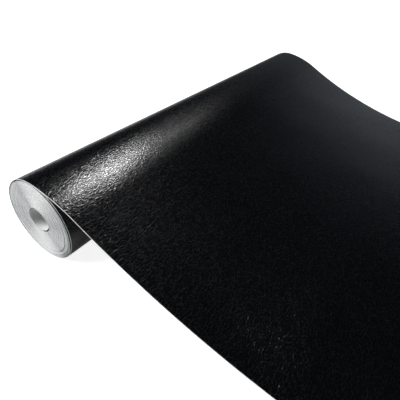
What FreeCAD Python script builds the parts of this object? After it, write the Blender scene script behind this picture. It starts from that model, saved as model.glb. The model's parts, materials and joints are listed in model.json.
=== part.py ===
"""A roll of self-adhesive sign vinyl with a leather grain, lying on a table with its free end drawn out.

The web is three layers that are wound together: a black face film, the adhesive coat on its back,
and a white release liner. There is no core tube: the innermost lap of the web is the bore's wall.
The roll lies along Y. The web comes off its top towards +X, bends down and runs out on the table.
The frame's origin is the centre of the bore, half way along the roll.
"""

import FreeCAD
import Part
import math
import os

# Web
liner_width = 450.0
film_shrinkage = 0.4          # the film ends this far inside each slit edge of the liner
film_thickness = 0.10
adhesive_thickness = 0.03
liner_thickness = 0.17

# Roll
roll_radius = 32.5            # outside of the outermost lap, where it lies on the table
bore_radius = 9.0             # inside of the innermost lap
side_bulge = 0.9              # the outermost lap stands out this much on the side under the web

# Where the web leaves the roll; angles are from straight up towards +X
lift_off_angle = 6.0
crest_radius = 115.0
descent_angle = 26.0
descent_straight = 5.0
flat_length = 80.0
free_end_length = 30.0

# Laps inside the outermost one
turning_clearance = 0.5       # between the outermost lap and what turns inside it
under_web_gap = 0.45          # between the web at its lift-off and the end of the outermost lap
loose_laps = 3
loose_lap_gap = 0.45
seat_clearance = 0.05         # where laps lie on one another
slack_band = 2.3              # thickness of the slack laps under the loose ones
slack_gap = 0.3               # between the slack laps and the tight ones, before they sag
slack_offset = 0.2            # the slack laps sag this much off the axis
slack_direction = 120.0
inner_lap_gap = 0.9           # between the innermost lap and the tight laps round it
inner_end_angle = 109.0       # where the web's inner end lies in the bore
inner_lap_turn = 290.0        # the stretch of the innermost lap that is the bore's wall
lead_out_turn = 80.0          # the stretch that joins it to the tight laps

web_thickness = film_thickness + adhesive_thickness + liner_thickness
film_width = liner_width - 2 * film_shrinkage
table_z = -roll_radius

# Each layer: name, depth of its two faces below the film's outer face, width
layers = (
    ("film", 0.0, film_thickness, film_width),
    ("adhesive", film_thickness, film_thickness + adhesive_thickness, film_width),
    ("liner", film_thickness + adhesive_thickness, web_thickness, liner_width),
)


def on_circle(centre, radius, angle):
    """The point at an angle from straight up towards +X, as (x, z)."""
    a = math.radians(angle)
    return centre[0] + radius * math.sin(a), centre[1] + radius * math.cos(a)


def point(xz, y):
    return FreeCAD.Vector(xz[0], y, xz[1])


def arc(centre, radius, start, end, hollow=False):
    """A stretch of the film's outer face. On a hollow stretch the centre is on the film's side."""
    return {"centre": centre, "radius": radius, "start": start, "end": end, "hollow": hollow}


def straight(start, end):
    return {"from": start, "to": end}


def ends_of(stretch, depth):
    """The two ends of a stretch at a depth below the film's outer face, as (x, z)."""
    if "centre" in stretch:
        radius = stretch["radius"] + (depth if stretch["hollow"] else -depth)
        return tuple(on_circle(stretch["centre"], radius, stretch[end]) for end in ("start", "end"))
    (x0, z0), (x1, z1) = stretch["from"], stretch["to"]
    length = math.hypot(x1 - x0, z1 - z0)
    down = ((z1 - z0) / length * depth, -(x1 - x0) / length * depth)
    return (x0 + down[0], z0 + down[1]), (x1 + down[0], z1 + down[1])


def edge_of(stretch, depth, y):
    start, end = ends_of(stretch, depth)
    if "centre" not in stretch:
        return Part.LineSegment(point(start, y), point(end, y)).toShape()
    radius = stretch["radius"] + (depth if stretch["hollow"] else -depth)
    middle = on_circle(stretch["centre"], radius, (stretch["start"] + stretch["end"]) / 2)
    return Part.Arc(point(start, y), point(middle, y), point(end, y)).toShape()


def strip(path, upper, lower, width):
    """One layer of the web along a path of tangent stretches, between two depths."""
    y = -width / 2
    first = path[0]
    last = path[-1]
    cap_in = Part.LineSegment(
        point(ends_of(first, upper)[0], y), point(ends_of(first, lower)[0], y)
    ).toShape()
    cap_out = Part.LineSegment(
        point(ends_of(last, upper)[1], y), point(ends_of(last, lower)[1], y)
    ).toShape()
    outer = [edge_of(stretch, upper, y) for stretch in path]
    inner = [edge_of(stretch, lower, y) for stretch in reversed(path)]
    outline = Part.Wire(outer + [cap_out] + inner + [cap_in])
    return Part.Face(outline).extrude(FreeCAD.Vector(0, width, 0))


def band(centre, outer_radius, inner_radius, width):
    """A plain ring of wound web."""
    base = point(centre, -width / 2)
    along = FreeCAD.Vector(0, 1, 0)
    outside = Part.makeCylinder(outer_radius, width, base, along)
    return outside.cut(Part.makeCylinder(inner_radius, width, base, along))


def split_arc(centre, radius, start, end, largest=120.0):
    """The same arc in equal parts, none over the largest angle."""
    parts = max(1, math.ceil(abs(end - start) / largest - 1e-9))
    step = (end - start) / parts
    return [arc(centre, radius, start + i * step, start + (i + 1) * step) for i in range(parts)]


def outer_lap_path():
    """From the lift-off back over the roll and round to just under the lift-off again."""
    axis = (0.0, 0.0)
    bulged = roll_radius + side_bulge
    lower_centre = (0.0, table_z + bulged)
    upper_radius = roll_radius - web_thickness - under_web_gap - lower_centre[1]
    upper_centre = (bulged - upper_radius, lower_centre[1])
    return (
        split_arc(axis, roll_radius, lift_off_angle, -180.0)
        + [arc(lower_centre, bulged, -180.0, -270.0)]
        + [arc(upper_centre, upper_radius, -270.0, lift_off_angle - 360.0)]
    )


def lead_path():
    """From the lift-off over a crest, down a short straight slope and out on to the table."""
    lift_off = on_circle((0.0, 0.0), roll_radius, lift_off_angle)
    crest_centre = on_circle((0.0, 0.0), roll_radius - crest_radius, lift_off_angle)
    slope_top = on_circle(crest_centre, crest_radius, descent_angle)
    fall = math.radians(descent_angle)
    slope_foot = (
        slope_top[0] + descent_straight * math.cos(fall),
        slope_top[1] - descent_straight * math.sin(fall),
    )
    flat_z = table_z + web_thickness
    toe_radius = (slope_foot[1] - flat_z) / (1 - math.cos(fall))
    toe_centre = on_circle(slope_foot, toe_radius, descent_angle)
    path = [
        arc(crest_centre, crest_radius, lift_off_angle, descent_angle),
        straight(slope_top, slope_foot),
        arc(toe_centre, toe_radius, descent_angle + 180.0, 180.0, hollow=True),
    ]
    assert math.dist(ends_of(path[0], 0.0)[0], lift_off) < 1e-6
    return path


def table_path(start_x, length):
    z = table_z + web_thickness
    return [straight((start_x, z), (start_x + length, z))]


def loose_laps_path(outer_radius, lap_pitch):
    """Half turns that close in by half a pitch each, about two centres in turn."""
    step = lap_pitch / 2
    path = []
    for half in range(2 * loose_laps):
        centre = (0.0, 0.0) if half % 2 == 0 else (-step, 0.0)
        start = 90.0 - 180.0 * half
        radius = outer_radius - half * step
        path += split_arc(centre, radius, start, start - 180.0)
    return path


def inner_lap_path(seat_radius):
    """The last lap: it comes off the tight laps, closes in to the bore's wall and ends there."""
    radius = bore_radius + web_thickness
    wall_start = inner_end_angle + inner_lap_turn
    opening = (seat_radius**2 - radius**2) / (1 - math.cos(math.radians(lead_out_turn)))
    drift = (math.sqrt(radius**2 + 2 * opening) - radius) / 2
    lead_centre = on_circle((0.0, 0.0), -drift, wall_start)
    lead_out = arc(lead_centre, radius + drift, wall_start + lead_out_turn, wall_start)
    return [lead_out] + split_arc((0.0, 0.0), radius, wall_start, inner_end_angle)


def points_on(stretch, depth, count=24):
    """Points along an arc at a depth below the film's outer face."""
    radius = stretch["radius"] + (depth if stretch["hollow"] else -depth)
    turn = stretch["end"] - stretch["start"]
    angles = [stretch["start"] + turn * i / count for i in range(count + 1)]
    return [on_circle(stretch["centre"], radius, angle) for angle in angles]


def least_gap_to_itself(path):
    """Between the liner's inner face and the film of the next laps in, half a turn on or more."""
    gaps = []
    for i, outer in enumerate(path):
        for inner in path[i + 1 :]:
            if abs(inner["start"] - outer["end"]) < 180.0:
                continue
            above = points_on(outer, web_thickness)
            below = points_on(inner, 0.0)
            gaps += [math.dist(a, b) for a in above for b in below]
    return min(gaps)


# What lies where, from the outside in
lead = lead_path()
toe_x = ends_of(lead[-1], 0.0)[1][0]
turning_radius = roll_radius - web_thickness - turning_clearance
loose_pitch = web_thickness + loose_lap_gap
loose = loose_laps_path(turning_radius, loose_pitch)
loose_inside = turning_radius - loose_laps * loose_pitch - web_thickness
slack_centre = on_circle((0.0, 0.0), slack_offset, slack_direction)
slack_radius = loose_inside - slack_offset - seat_clearance
tight_radius = slack_radius - slack_band - slack_gap
tight_bore = bore_radius + web_thickness + inner_lap_gap

stretches = {
    "outer_lap": outer_lap_path(),
    "lead": lead,
    "flat": table_path(toe_x, flat_length),
    "free_end": table_path(toe_x + flat_length, free_end_length),
    "loose_laps": loose,
    "inner_lap": inner_lap_path(tight_bore - seat_clearance),
}

solids = {
    "slack_laps": band(slack_centre, slack_radius, slack_radius - slack_band, liner_width),
    "tight_laps": band((0.0, 0.0), tight_radius, tight_bore, liner_width),
}
for stretch_name, path in stretches.items():
    for layer, upper, lower, width in layers:
        solids[f"{layer}_{stretch_name}"] = strip(path, upper, lower, width)

os.makedirs("parts", exist_ok=True)
for node, solid in solids.items():
    solid.exportStep(f"parts/{node}.step")

wound_area = math.pi * (roll_radius**2 - bore_radius**2)
print("web on the roll, m:", round(wound_area / web_thickness / 1000, 2))
print("toe of the web on the table, mm from the roll's axis:", round(toe_x, 2))
print("least gap of the loose laps to themselves, mm:", round(least_gap_to_itself(loose), 3))
print("gap of the outermost lap under the lift-off, mm:", under_web_gap)
for node, solid in solids.items():
    print(node, solid.isValid(), len(solid.Solids), round(solid.Volume, 1))
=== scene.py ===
"""A roll of black, leather-grained, self-adhesive vinyl on a white liner, drawn out over a table.

Each piece is one layer of the web: black film, adhesive coat or white liner. The sheet pieces run
from the outermost lap over the crest and down to the square-cut free end. The wound pieces are one
unbroken spiral from the bore to the outside of the turning laps. Lengths are in metres. Angles
round the roll are in degrees from straight up towards +X, seen from the near end.
"""

import json
import math

import bpy
import numpy as np
from mathutils import Matrix, Vector


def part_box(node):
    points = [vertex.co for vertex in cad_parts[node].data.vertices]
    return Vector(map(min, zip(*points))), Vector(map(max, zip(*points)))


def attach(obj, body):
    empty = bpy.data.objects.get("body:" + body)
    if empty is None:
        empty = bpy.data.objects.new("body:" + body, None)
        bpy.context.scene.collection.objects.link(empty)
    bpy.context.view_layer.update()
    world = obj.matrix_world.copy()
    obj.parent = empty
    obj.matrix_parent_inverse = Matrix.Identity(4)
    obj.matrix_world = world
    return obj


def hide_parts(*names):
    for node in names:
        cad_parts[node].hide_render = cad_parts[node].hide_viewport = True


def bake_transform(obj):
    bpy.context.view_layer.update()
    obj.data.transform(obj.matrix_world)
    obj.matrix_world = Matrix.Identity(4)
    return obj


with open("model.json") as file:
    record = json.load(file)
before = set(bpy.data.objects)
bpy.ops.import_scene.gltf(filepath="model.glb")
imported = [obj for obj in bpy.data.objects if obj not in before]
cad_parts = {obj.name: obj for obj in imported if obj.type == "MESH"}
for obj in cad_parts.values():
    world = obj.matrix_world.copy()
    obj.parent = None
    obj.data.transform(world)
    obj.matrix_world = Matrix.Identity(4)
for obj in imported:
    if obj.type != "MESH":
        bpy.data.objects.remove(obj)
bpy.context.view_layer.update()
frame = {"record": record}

MM = 0.001

# The web, as the frame has it
film_low, film_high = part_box("film_flat")
adhesive_low, adhesive_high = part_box("adhesive_flat")
liner_low, liner_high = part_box("liner_flat")
mounts = {mount["name"]: mount for mount in frame["record"]["mounts"]}

TABLE_Z = liner_low.z
WEB_TOP_Z = film_high.z
FILM_DEPTHS = (0.0, film_high.z - film_low.z)
ADHESIVE_DEPTHS = (film_high.z - adhesive_high.z, film_high.z - adhesive_low.z)
LINER_DEPTHS = (film_high.z - liner_high.z, film_high.z - liner_low.z)
WEB_THICKNESS = LINER_DEPTHS[1]
FILM_WIDTH = film_high.y - film_low.y
LINER_WIDTH = liner_high.y - liner_low.y
TOE_X = film_low.x
FLAT_END_X = film_high.x
FREE_END_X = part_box("film_free_end")[1].x
ROLL_RADIUS = -TABLE_Z
BULGED_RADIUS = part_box("film_outer_lap")[1].x
BORE_RADIUS = mounts["roll_bore"]["dims"]["r_mm"] * MM

# Where the web leaves the roll, and how it comes down to the table
LIFT_OFF = 6.0
CREST_RADIUS = 115 * MM
DESCENT = 26.0
DESCENT_STRAIGHT = 5 * MM
LAP_END_GAP = 0.35 * MM

# How far the sheet stands off its nominal face: hung slowly and quickly, laid, and on the roll
HUNG_SLOW = 0.16 * MM
HUNG_QUICK = 0.05 * MM
LAID_RIPPLE = 0.05 * MM
ROLL_RIPPLE = 0.02 * MM

# The sheet's strips
SHEET_COLUMNS = 91
SLIT_WANDER = 0.02 * MM
SHEET_ADHESIVE_WIDTH = FILM_WIDTH - 0.2 * MM

# Laps of the wound part
TIGHT_BORE = 10.2 * MM
INNER_END = 109.0
INNER_WALL_TURN = 290.0
INNER_CURL = 0.7 * MM
TIGHT_LAPS = 52
SLACK_LAPS = 7
LOOSE_LAPS = 3
STATIONS_A_LAP = 96

# Gaps between laps; the sag side is where the laps have dropped away from one another
SAG_SIDE = 108.0
TIGHT_GAP = 0.003 * MM
TIGHT_GAP_OPPOSITE = 0.034 * MM
SLACK_GAP = 0.008 * MM
BREAK_GAP = 0.78 * MM
LOOSE_GAP = 0.03 * MM
LOOSE_GAP_SAGGED = 0.39 * MM

# At the roll's ends each lap lies a little in or out, and the film and adhesive stop short of the liner
LAP_SCATTER = 0.28 * MM
SCATTER_SEED = 11
WOUND_FILM_WIDTH = LINER_WIDTH - 0.36 * MM
WOUND_ADHESIVE_WIDTH = LINER_WIDTH - 0.42 * MM

# The leather grain, in cells or waves a metre; it is drawn out along the roll
PEBBLES = 620
CROWNS = 600
FISSURES = 210
TOOTH = 4200
GRAIN_DEPTH = 0.08 * MM
GRAIN_STRETCH = (1, 0.5, 1)

# Where the sheet was taken hold of, which left it crinkled
GRASPED = (172 * MM, -190 * MM, -20 * MM)
CRINKLES = 55
SPECKS = 620


def on_circle(centre, radius, angle):
    """The point at an angle on a circle, as (x, z)."""
    a = math.radians(angle)
    return centre[0] + radius * math.sin(a), centre[1] + radius * math.cos(a)


def bend(centre, radius, start, end, step, hollow=False):
    """Stations on an arc of the film's outer face: rows of x, z and the outward normal."""
    count = max(2, math.ceil(abs(end - start) / step))
    a = np.radians(np.linspace(start, end, count + 1))
    out = np.stack([np.sin(a), np.cos(a)], -1)
    normal = -out if hollow else out
    return np.concatenate([np.array(centre) + radius * out, normal], -1)


def run(start, end, step):
    """Stations on a straight of the film's outer face."""
    start, end = np.array(start), np.array(end)
    length = np.linalg.norm(end - start)
    t = np.linspace(0, 1, max(2, math.ceil(length / step)) + 1)[:, None]
    along = (end - start) / length
    normal = np.tile([-along[1], along[0]], (len(t), 1))
    return np.concatenate([start + t * (end - start), normal], -1)


def joined(*stretches):
    """The stretches end to end, with the shared stations once."""
    return np.concatenate([stretches[0]] + [s[1:] for s in stretches[1:]])


def lengths_along(stations):
    """The length of web from the first station to each one."""
    steps = np.linalg.norm(np.diff(stations[:, :2], axis=0), axis=1)
    return np.concatenate([[0], np.cumsum(steps)])


def sheet_stations():
    """The outermost lap from its inner end, the crest, the fall and the flat to the free end."""
    lower_centre = (0.0, TABLE_Z + BULGED_RADIUS)
    closing_radius = ROLL_RADIUS - WEB_THICKNESS - LAP_END_GAP - lower_centre[1]
    closing_centre = (BULGED_RADIUS - closing_radius, lower_centre[1])
    crest_centre = on_circle((0, 0), ROLL_RADIUS - CREST_RADIUS, LIFT_OFF)
    slope_top = on_circle(crest_centre, CREST_RADIUS, DESCENT)
    fall = math.radians(DESCENT)
    slope_foot = (
        slope_top[0] + DESCENT_STRAIGHT * math.cos(fall),
        slope_top[1] - DESCENT_STRAIGHT * math.sin(fall),
    )
    toe_radius = (slope_foot[1] - WEB_TOP_Z) / (1 - math.cos(fall))
    toe_centre = on_circle(slope_foot, toe_radius, DESCENT)
    return joined(
        bend(closing_centre, closing_radius, LIFT_OFF - 360, -270, 3),
        bend(lower_centre, BULGED_RADIUS, -270, -180, 3),
        bend((0, 0), ROLL_RADIUS, -180, LIFT_OFF, 3),
        bend(crest_centre, CREST_RADIUS, LIFT_OFF, DESCENT, 1),
        run(slope_top, slope_foot, 2.5 * MM),
        bend(toe_centre, toe_radius, 180 + DESCENT, 180, 0.4, hollow=True),
        run((TOE_X, WEB_TOP_Z), (FLAT_END_X, WEB_TOP_Z), 4 * MM),
        run((FLAT_END_X, WEB_TOP_Z), (FREE_END_X, WEB_TOP_Z), 4 * MM),
    )


def wave(x, length, phase):
    return np.sin(2 * math.pi * x / length + phase)


def smooth_step(t):
    t = np.clip(t, 0, 1)
    return t * t * (3 - 2 * t)


def ripple(stations, y):
    """How far the sheet stands off its nominal face at each station and column."""
    s = lengths_along(stations)[:, None]
    x = stations[:, :1]
    past_roll = smooth_step((x - 30 * MM) / (60 * MM)) * (s > 0.2 * s.max())
    hanging = np.clip((TOE_X - x) / (90 * MM), 0, 1)
    slow = wave(s, 0.13, 0.4) * wave(y, 0.31, 1.1) + 0.6 * wave(s + 0.5 * y, 0.19, 2.0)
    quick = wave(y - 0.3 * s, 0.083, 0.7) * wave(s, 0.21, 2.6)
    hung = (HUNG_SLOW * slow + HUNG_QUICK * quick) * hanging
    laid = LAID_RIPPLE * (1 + wave(y, 0.17, 0.3) * wave(x, 0.09, 1.2)) * (1 - hanging)
    wound = ROLL_RIPPLE * wave(y, 0.12, 0.9) * wave(s, 0.07, 0.2)
    return past_roll * (hung + laid) + (1 - past_roll) * wound


def quads(a, b, c, d):
    return np.stack([a, b, c, d], -1).reshape(-1, 4)


def strip(name, stations, depths, y, offset, face_material, edge_material):
    """A closed strip of one layer: rows of stations by columns of y, between two depths."""
    rows, columns = y.shape
    centre = stations[:, None, :2]
    normal = stations[:, None, 2:]
    sides = []
    for depth in depths:
        place = centre + normal * (offset - depth)[..., None]
        sides.append(np.stack([place[..., 0], y, place[..., 1]], -1).reshape(-1, 3))
    upper = np.arange(rows * columns).reshape(rows, columns)
    lower = upper + rows * columns
    faces = [
        quads(upper[:-1, :-1], upper[1:, :-1], upper[1:, 1:], upper[:-1, 1:]),
        quads(lower[:-1, :-1], lower[:-1, 1:], lower[1:, 1:], lower[1:, :-1]),
    ]
    edges = [
        quads(upper[:-1, 0], lower[:-1, 0], lower[1:, 0], upper[1:, 0]),
        quads(upper[:-1, -1], upper[1:, -1], lower[1:, -1], lower[:-1, -1]),
        quads(upper[0, :-1], upper[0, 1:], lower[0, 1:], lower[0, :-1]),
        quads(upper[-1, :-1], lower[-1, :-1], lower[-1, 1:], upper[-1, 1:]),
    ]
    face_count = sum(len(f) for f in faces)
    every_face = np.concatenate(faces + edges)
    mesh = bpy.data.meshes.new(name)
    mesh.from_pydata(np.concatenate(sides).tolist(), [], every_face.tolist())
    mesh.materials.append(face_material)
    mesh.materials.append(edge_material)
    on_edge = np.arange(len(every_face)) >= face_count
    mesh.polygons.foreach_set("material_index", on_edge.astype(np.int32))
    mesh.polygons.foreach_set("use_smooth", np.ones(len(every_face), bool))
    mesh.set_sharp_from_angle(angle=math.radians(40))
    mesh.update()
    piece = bpy.data.objects.new(name, mesh)
    bpy.context.scene.collection.objects.link(piece)
    return piece


def wound_radii():
    """The film's outer radius at each station, from the bore outwards, and each station's angle.

    Every lap lies on the one inside it, with a gap that depends on how tightly it was wound there.
    """
    lap = STATIONS_A_LAP
    slack_from = 2 + TIGHT_LAPS
    loose_from = slack_from + SLACK_LAPS
    last_part_lap = (LIFT_OFF - INNER_END) % 360 / 360
    count = round((loose_from + LOOSE_LAPS + last_part_lap) * lap)
    turn = np.arange(count + 1) / lap
    angle = INNER_END + 360 * turn
    sag = (1 + np.cos(np.radians(angle - SAG_SIDE))) / 2
    opened = smooth_step(1.1 - np.abs(turn - slack_from - 0.5) * 1.2)
    gap = (TIGHT_GAP + TIGHT_GAP_OPPOSITE * (1 - sag)) * (turn < slack_from)
    gap += smooth_step((turn - slack_from) / 0.5) * SLACK_GAP
    gap += opened * BREAK_GAP * sag**1.5
    gap += smooth_step((turn - loose_from) / 0.6) * (LOOSE_GAP + LOOSE_GAP_SAGGED * sag**1.5)

    bore_wall = BORE_RADIUS + WEB_THICKNESS
    second = TIGHT_BORE + WEB_THICKNESS
    wall_turn = INNER_WALL_TURN / 360
    radius = np.zeros(count + 1)
    curl = INNER_CURL * np.sin(np.clip(turn[:lap] / 0.24, 0, 1) * math.pi) ** 2
    lead_out = smooth_step((turn[:lap] - wall_turn) / (1 - wall_turn))
    radius[:lap] = bore_wall - curl + lead_out * (second - bore_wall)
    radius[lap : 2 * lap] = second
    for i in range(2 * lap, count + 1):
        radius[i] = radius[i - lap] + WEB_THICKNESS + gap[i]
    return radius, angle


def wound_stations():
    """Stations along the spiral, from the web's inner end outwards."""
    radius, angle = wound_radii()
    a = np.radians(angle)
    place = np.stack([radius * np.sin(a), radius * np.cos(a)], -1)
    tangent = np.gradient(place, axis=0)
    tangent /= np.linalg.norm(tangent, axis=1)[:, None]
    normal = np.stack([-tangent[:, 1], tangent[:, 0]], -1)
    return np.concatenate([place, normal], -1)


def node_tree(owner):
    """The empty node tree of a material or world."""
    owner.use_nodes = True
    owner.node_tree.nodes.clear()
    return owner.node_tree


def set_inputs(tree, node, inputs):
    """Give a node its inputs; each is a value or another node's output."""
    for key, value in inputs.items():
        if isinstance(value, bpy.types.NodeSocket):
            tree.links.new(value, node.inputs[key])
        else:
            node.inputs[key].default_value = value


def add(tree, kind, inputs=None, **settings):
    """A new node with its settings and inputs."""
    node = tree.nodes.new(kind)
    for key, value in settings.items():
        setattr(node, key, value)
    set_inputs(tree, node, inputs or {})
    return node


def remap(tree, value, from_min, from_max, to_min, to_max):
    """A smooth step from one range to another."""
    sockets = ("Value", "From Min", "From Max", "To Min", "To Max")
    inputs = dict(zip(sockets, (value, from_min, from_max, to_min, to_max)))
    return add(tree, "ShaderNodeMapRange", inputs, interpolation_type="SMOOTHSTEP").outputs["Result"]


def math_node(tree, operation, a, b):
    return add(tree, "ShaderNodeMath", {0: a, 1: b}, operation=operation).outputs[0]


def plus(tree, a, b):
    return math_node(tree, "ADD", a, b)


def times(tree, a, b):
    return math_node(tree, "MULTIPLY", a, b)


def vector_node(tree, operation, inputs, output="Vector"):
    return add(tree, "ShaderNodeVectorMath", inputs, operation=operation).outputs[output]


def mixed(tree, factor, a, b):
    """A colour between two others."""
    node = add(tree, "ShaderNodeMix", data_type="RGBA")
    set_inputs(tree, node, {0: factor, 6: a, 7: b})
    return node.outputs[2]


def noise(tree, vector, scale, detail, roughness=0.5, output="Fac"):
    inputs = {"Vector": vector, "Scale": scale, "Detail": detail, "Roughness": roughness}
    return add(tree, "ShaderNodeTexNoise", inputs).outputs[output]


def warped(tree, place, scale, amount):
    """Coordinates pushed about by a noise, so that cells aren't straight-sided."""
    push = noise(tree, place, scale, 2, output="Color")
    centred = vector_node(tree, "SUBTRACT", {0: push, 1: (0.5, 0.5, 0.5)})
    scaled = vector_node(tree, "SCALE", {0: centred, "Scale": amount})
    return vector_node(tree, "ADD", {0: place, 1: scaled})


def cell_edges(tree, vector, scale):
    """The distance to the nearest edge between cells."""
    inputs = {"Vector": vector, "Scale": scale, "Randomness": 1.0}
    cells = add(tree, "ShaderNodeTexVoronoi", inputs, feature="DISTANCE_TO_EDGE")
    return cells.outputs["Distance"]


def new_material(name):
    """A new material, its node tree and the object's own coordinates."""
    material = bpy.data.materials.new(name)
    tree = node_tree(material)
    return material, tree, add(tree, "ShaderNodeTexCoord").outputs["Object"]


def output_surface(tree, shader):
    out = add(tree, "ShaderNodeOutputMaterial")
    tree.links.new(shader.outputs[0], out.inputs["Surface"])


def finish_surface(tree, colour, roughness, height, strength, depth):
    """The material's surface: a colour, a roughness and a bump of a depth."""
    bump = add(tree, "ShaderNodeBump", {"Height": height, "Strength": strength, "Distance": depth})
    inputs = {
        "Base Color": colour,
        "Roughness": roughness,
        "IOR": 1.5,
        "Normal": bump.outputs["Normal"],
    }
    output_surface(tree, add(tree, "ShaderNodeBsdfPrincipled", inputs))


def crinkled(tree, place):
    """Creases and fine specks round the place where the sheet was taken hold of."""
    away = vector_node(tree, "DISTANCE", {0: place, 1: GRASPED}, "Value")
    near = remap(tree, away, 0.015, 0.1, 1.0, 0.05)
    uneven = remap(tree, noise(tree, place, 26, 2), 0.4, 0.62, 0, 1)
    creased = cell_edges(tree, warped(tree, place, 60, 6 * MM), CRINKLES)
    crinkle = remap(tree, creased, 0.0, 0.04, 0.9, 0)
    speck = times(tree, noise(tree, place, SPECKS, 3), 4.6)
    return times(tree, plus(tree, crinkle, speck), times(tree, near, uneven))


def leather_film():
    """Black calendered vinyl with an embossed leather grain: polished pebbles, matt fissures."""
    material, tree, place = new_material("leather_film")
    drawn = vector_node(tree, "MULTIPLY", {0: place, 1: GRAIN_STRETCH})
    wandering = warped(tree, drawn, 300, 1.6 * MM)
    pebbles = remap(tree, cell_edges(tree, wandering, PEBBLES), 0.0, 0.26, 0, 1)
    fissures = remap(tree, cell_edges(tree, wandering, FISSURES), 0.0, 0.1, 0, 1)
    relief = plus(tree, times(tree, pebbles, 0.5), times(tree, fissures, 0.12))
    relief = plus(tree, relief, times(tree, noise(tree, wandering, CROWNS, 3), 0.5))
    tooth = times(tree, noise(tree, place, TOOTH, 2, 0.6), 0.03)
    height = plus(tree, plus(tree, relief, tooth), crinkled(tree, place))
    patches = noise(tree, place, 14, 3)
    black = (0.0007, 0.0008, 0.0012, 1)
    off_black = (0.0012, 0.0014, 0.002, 1)
    colour = mixed(tree, remap(tree, patches, 0.3, 0.7, 0, 1), black, off_black)
    polish = remap(tree, relief, 0.3, 0.6, 0.29, 0.14)
    roughness = plus(tree, polish, times(tree, patches, 0.03))
    finish_surface(tree, colour, roughness, height, 1.0, GRAIN_DEPTH)
    return material


def mottled(name, scale, detail, dark, light, roughness, strength, depth, grain=0.5):
    """A plain material whose colour and bump follow one fine noise."""
    material, tree, place = new_material(name)
    fine = noise(tree, place, scale, detail, grain)
    finish_surface(tree, mixed(tree, fine, dark, light), roughness, fine, strength, depth)
    return material


def cut_film():
    """The slit edge of the film: dark, matt, drawn out a little by the blade."""
    dark = (0.008, 0.008, 0.01, 1)
    light = (0.04, 0.041, 0.045, 1)
    return mottled("cut_film", 2600, 3, dark, light, 0.55, 0.4, 0.02 * MM, grain=0.6)


def adhesive_coat():
    """A milky pressure-sensitive adhesive."""
    dark = (0.55, 0.53, 0.47, 1)
    light = (0.72, 0.71, 0.66, 1)
    return mottled("adhesive_coat", 900, 3, dark, light, 0.35, 0.3, 0.01 * MM)


def cut_adhesive_dust_and_shade():
    """The slit edge of the adhesive: dark grey, partly dust and partly painted shade that deepens the
    recessed slots between the liner edges at the roll's end.
    """
    # dark grey: dust, with painted shade for the slots between the liner edges
    dark = (0.06, 0.06, 0.06, 1)
    light = (0.2, 0.2, 0.19, 1)
    return mottled("cut_adhesive_dust_and_shade", 1800, 3, dark, light, 0.6, 0.3, 0.01 * MM, grain=0.6)


def liner_paper_painted_shade():
    """White release paper, given a pale grey well below its own cut edges: painted shade that darkens
    the bore, whose wall is this face. Smooth and faintly mottled, with a fine fibre tooth.
    """
    material, tree, place = new_material("liner_paper_painted_shade")
    mottle = remap(tree, noise(tree, place, 160, 4, 0.55), 0.3, 0.7, 0, 1)
    fibre = noise(tree, place, 2400, 4, 0.65)
    # pale grey in place of white: painted shade for the bore's wall
    white = mixed(tree, mottle, (0.55, 0.56, 0.56, 1), (0.63, 0.64, 0.64, 1))
    colour = mixed(tree, remap(tree, fibre, 0.35, 0.75, 0.12, 0.0), white, (0.62, 0.61, 0.58, 1))
    finish_surface(tree, colour, 0.48, fibre, 0.35, 0.02 * MM)
    return material


def cut_paper():
    """The slit edge of the liner, which makes the pale face of the roll's end."""
    material, tree, place = new_material("cut_paper")
    smudge = remap(tree, noise(tree, place, 110, 3), 0.35, 0.7, 0, 1)
    fibre = noise(tree, place, 5200, 3, 0.6)
    white = mixed(tree, smudge, (0.85, 0.87, 0.875, 1), (0.78, 0.8, 0.805, 1))
    colour = mixed(tree, remap(tree, fibre, 0.4, 0.8, 0.0, 0.08), white, (0.6, 0.6, 0.59, 1))
    finish_surface(tree, colour, 0.5, fibre, 0.4, 0.02 * MM)
    return material


def even_columns(stations, width):
    """Columns of y across the sheet, with the slit edges a hair off straight."""
    s = lengths_along(stations)[:, None]
    across = np.linspace(-0.5, 0.5, SHEET_COLUMNS)[None, :]
    wander = SLIT_WANDER * (wave(s, 0.21, 0.5) + 0.5 * wave(s, 0.057, 1.9))
    return across * width + wander


def edge_columns(stations, width):
    """The two slit edges of the wound web: each lap lies a little in or out of its neighbours."""
    rng = np.random.default_rng(SCATTER_SEED)
    count = 2 * (math.ceil(len(stations) / STATIONS_A_LAP) + 2)
    half_turns = 2 * np.arange(len(stations)) / STATIONS_A_LAP
    near = np.interp(half_turns, np.arange(count), rng.uniform(0, 1, count)) * LAP_SCATTER
    far = np.interp(half_turns, np.arange(count), rng.uniform(0, 1, count)) * LAP_SCATTER
    return np.stack([-width / 2 + near, width / 2 - far], -1)


def make_sheet(layer, depths, width, materials):
    """One layer of the drawn-out sheet."""
    stations = sheet_stations()
    y = even_columns(stations, width)
    piece = strip(f"{layer}_sheet", stations, depths, y, ripple(stations, y), *materials)
    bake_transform(piece)
    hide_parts(*[f"{layer}_{part}" for part in ("outer_lap", "lead", "flat", "free_end")])
    return piece


def make_wound(layer, depths, width, materials, *rings):
    """One layer of the wound part, which turns with the roll."""
    stations = wound_stations()
    y = edge_columns(stations, width)
    piece = strip(f"{layer}_wound", stations, depths, y, np.zeros_like(y), *materials)
    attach(piece, "roll")
    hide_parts(f"{layer}_loose_laps", f"{layer}_inner_lap", *rings)
    return piece


film_materials = (leather_film(), cut_film())
adhesive_materials = (adhesive_coat(), cut_adhesive_dust_and_shade())
liner_materials = (liner_paper_painted_shade(), cut_paper())

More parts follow.
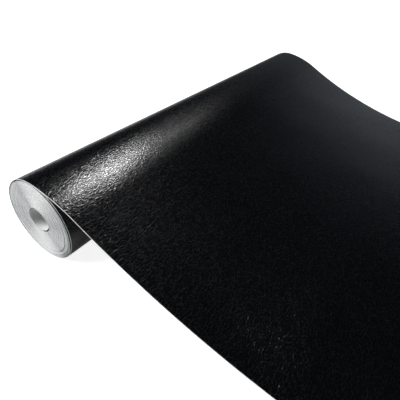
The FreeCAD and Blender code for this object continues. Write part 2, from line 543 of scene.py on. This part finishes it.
film_sheet = make_sheet("film", FILM_DEPTHS, FILM_WIDTH, film_materials)
adhesive_sheet = make_sheet("adhesive", ADHESIVE_DEPTHS, SHEET_ADHESIVE_WIDTH, adhesive_materials)
liner_sheet = make_sheet("liner", LINER_DEPTHS, LINER_WIDTH, liner_materials)
film_wound = make_wound("film", FILM_DEPTHS, WOUND_FILM_WIDTH, film_materials)
adhesive_wound = make_wound("adhesive", ADHESIVE_DEPTHS, WOUND_ADHESIVE_WIDTH, adhesive_materials)
liner_wound = make_wound(
    "liner", LINER_DEPTHS, LINER_WIDTH, liner_materials, "slack_laps", "tight_laps"
)

wound_length = lengths_along(wound_stations())[-1]


def make_floor():
    """A plain white table top that runs out of sight, and keeps the roll's shadow."""
    half = 9.0
    z = TABLE_Z - 0.02 * MM
    corners = [(-half, -half, z), (half, -half, z), (half, half, z), (-half, half, z)]
    mesh = bpy.data.meshes.new("floor")
    mesh.from_pydata(corners, [], [(0, 1, 2, 3)])
    floor = bpy.data.objects.new("floor", mesh)
    bpy.context.scene.collection.objects.link(floor)
    material, tree, place = new_material("floor")
    rays = add(tree, "ShaderNodeLightPath").outputs
    mirrored = plus(tree, rays["Is Glossy Ray"], rays["Is Transmission Ray"])
    seen = plus(tree, times(tree, mirrored, 0.1), rays["Is Camera Ray"])
    away = vector_node(tree, "LENGTH", {0: place}, "Value")
    strength = times(tree, seen, remap(tree, away, 0.6, 1.6, 0.88, 1.0))
    glow = add(tree, "ShaderNodeEmission", {"Color": (1, 1, 1, 1), "Strength": strength})
    matte = add(tree, "ShaderNodeBsdfDiffuse", {"Color": (0.48, 0.48, 0.48, 1)})
    shaders = {0: glow.outputs[0], 1: matte.outputs[0]}
    output_surface(tree, add(tree, "ShaderNodeAddShader", shaders))
    mesh.materials.append(material)


def softbox(name, place, aim, size, length_axis, radiance):
    """A rectangular light of an even radiance that faces a point."""
    light = bpy.data.lights.new(name, "AREA")
    light.shape = "RECTANGLE"
    light.size, light.size_y = size
    light.energy = radiance * math.pi * size[0] * size[1]
    lamp = bpy.data.objects.new(name, light)
    back = (Vector(place) - Vector(aim)).normalized()
    along = Vector(length_axis)
    along = (along - along.dot(back) * back).normalized()
    across = along.cross(back)
    turn = Matrix((across, along, back)).transposed().to_4x4()
    lamp.matrix_world = Matrix.Translation(place) @ turn
    lamp.visible_camera = False
    bpy.context.scene.collection.objects.link(lamp)


def make_lamps():
    """A long bright strip and its fainter end over the roll, and a broad fill at its near end."""
    roll_top = (0.03, -0.12, 0.0)
    near_end = (0.0, -0.225, 0.0)
    strip_axis = (-0.05, 0.99, 0)
    softbox("key", (-0.273, 0.472, 1.0), roll_top, (0.1, 0.27), strip_axis, 54)
    softbox("tail", (-0.262, 0.86, 1.0), roll_top, (0.12, 0.4), strip_axis, 2.4)
    softbox("fill", (-0.51, -0.765, 0.88), near_end, (0.75, 0.75), (0, 0, 1), 12.7)


def make_world():
    """A pale studio wall low down, dim overhead and towards the back left; white to the camera."""
    world = bpy.data.worlds.new("studio")
    bpy.context.scene.world = world
    tree = node_tree(world)
    way = add(tree, "ShaderNodeTexCoord").outputs["Generated"]
    parts = add(tree, "ShaderNodeSeparateXYZ", {0: way}).outputs
    level = remap(tree, parts["Z"], 0.17, 0.47, 0.6, 0.02)
    behind = remap(tree, parts["Y"], -0.3, 0.5, 0.15, 1.0)
    back_left = (-0.743, 0.669, 0.0)
    facing = vector_node(tree, "DOT_PRODUCT", {0: way, 1: back_left}, "Value")
    shade = remap(tree, facing, 0.55, 0.95, 1.0, 0.1)
    strength = times(tree, times(tree, level, behind), shade)
    rays = add(tree, "ShaderNodeLightPath").outputs
    mirrored = plus(tree, rays["Is Glossy Ray"], rays["Is Transmission Ray"])
    strength = plus(tree, strength, times(tree, mirrored, 0.002))
    strength = math_node(tree, "MAXIMUM", strength, rays["Is Camera Ray"])
    colour = mixed(tree, rays["Is Camera Ray"], (0.86, 0.94, 1.07, 1), (1, 1, 1, 1))
    sky = add(tree, "ShaderNodeBackground", {"Color": colour, "Strength": strength})
    out = add(tree, "ShaderNodeOutputWorld")
    tree.links.new(sky.outputs[0], out.inputs["Surface"])


def make_camera():
    """The photograph's own viewpoint, close in with a wide lens and tipped a little."""
    azimuth, elevation, tip = 0.5399, 0.65385, 0.08123
    distance = 331.08 * MM
    target = Vector((55.03 * MM, -96.92 * MM, TABLE_Z))
    focal_share = 346.4 / 400
    flat = math.cos(elevation)
    back = Vector((math.sin(azimuth) * flat, -math.cos(azimuth) * flat, math.sin(elevation)))
    level_right = Vector((math.cos(azimuth), math.sin(azimuth), 0))
    level_up = back.cross(level_right)
    right = math.cos(tip) * level_right + math.sin(tip) * level_up
    up = back.cross(right)
    turn = Matrix((right, up, back)).transposed().to_4x4()
    data = bpy.data.cameras.new("camera")
    data.sensor_width = 36
    data.lens = focal_share * data.sensor_width
    data.clip_start = 0.01
    camera = bpy.data.objects.new("camera", data)
    camera.matrix_world = Matrix.Translation(target + distance * back) @ turn
    bpy.context.scene.collection.objects.link(camera)
    bpy.context.scene.camera = camera


make_floor()
make_lamps()
make_world()
make_camera()
bpy.context.scene.view_settings.view_transform = "Standard"
